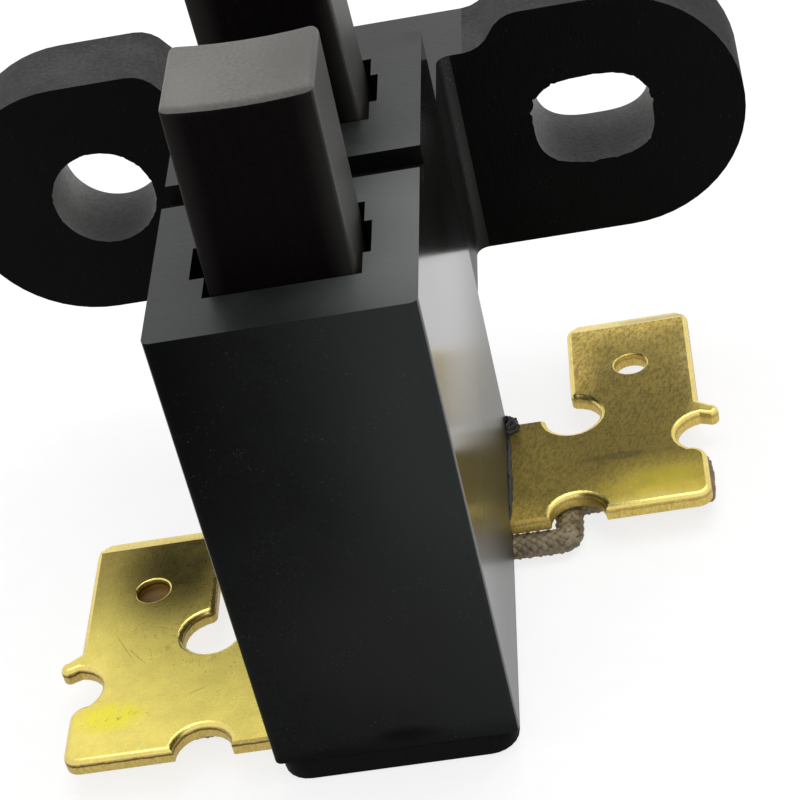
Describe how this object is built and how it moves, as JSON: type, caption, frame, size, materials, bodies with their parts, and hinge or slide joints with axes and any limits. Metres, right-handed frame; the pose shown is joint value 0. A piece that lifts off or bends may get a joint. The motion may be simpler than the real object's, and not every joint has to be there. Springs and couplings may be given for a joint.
{
  "type": "carbon brush",
  "caption": "Slip-ring brush holder: sprung carbon brushes in a moulded body with a screw flange, each joined by a copper braid to a stamped tab terminal.",
  "frame": {"origin": "on the flange's rear mounting face, midway between the screw holes, at the height of their axes", "axes": "+X to the slotted ear, +Y out of the flange's rear face, +Z along the brushes towards the slip rings"},
  "size_m": [0.039, 0.031, 0.033],
  "materials": {
    "phenolic": "moulded, satin",
    "carbon": "pressed and ground",
    "copper_powder": "tamped",
    "spring_steel": "drawn",
    "brass": "rolled and stamped",
    "tinned_braid": "braided",
    "resin": "hardened drops"
  },
  "bodies": {
    "holder": {"holder_body": "phenolic", "bottom_cover": "phenolic", "front_spring": "spring_steel", "rear_spring": "spring_steel", "left_terminal": "brass", "right_terminal": "brass", "front_braid_outer": "tinned_braid", "rear_braid_outer": "tinned_braid", "front_braid_inner": "tinned_braid", "rear_braid_inner": "tinned_braid", "left_resin_bead": "resin", "right_resin_bead": "resin"},
    "front_brush_body": {"front_brush": "carbon", "front_brush_plug": "copper_powder"},
    "rear_brush_body": {"rear_brush": "carbon", "rear_brush_plug": "copper_powder"}
  },
  "joints": [
    {"name": "front_brush_slide", "type": "slide", "parent": "holder", "child": "front_brush_body", "axis": [0, 0, 1], "range_m": [-0.008, 0], "stiffness_N_per_m": 180, "springref_m": 0.011, "deforming": ["front_spring", "front_braid_inner"]},
    {"name": "rear_brush_slide", "type": "slide", "parent": "holder", "child": "rear_brush_body", "axis": [0, 0, 1], "range_m": [-0.008, 0], "stiffness_N_per_m": 180, "springref_m": 0.011, "deforming": ["rear_spring", "rear_braid_inner"]}
  ]
}
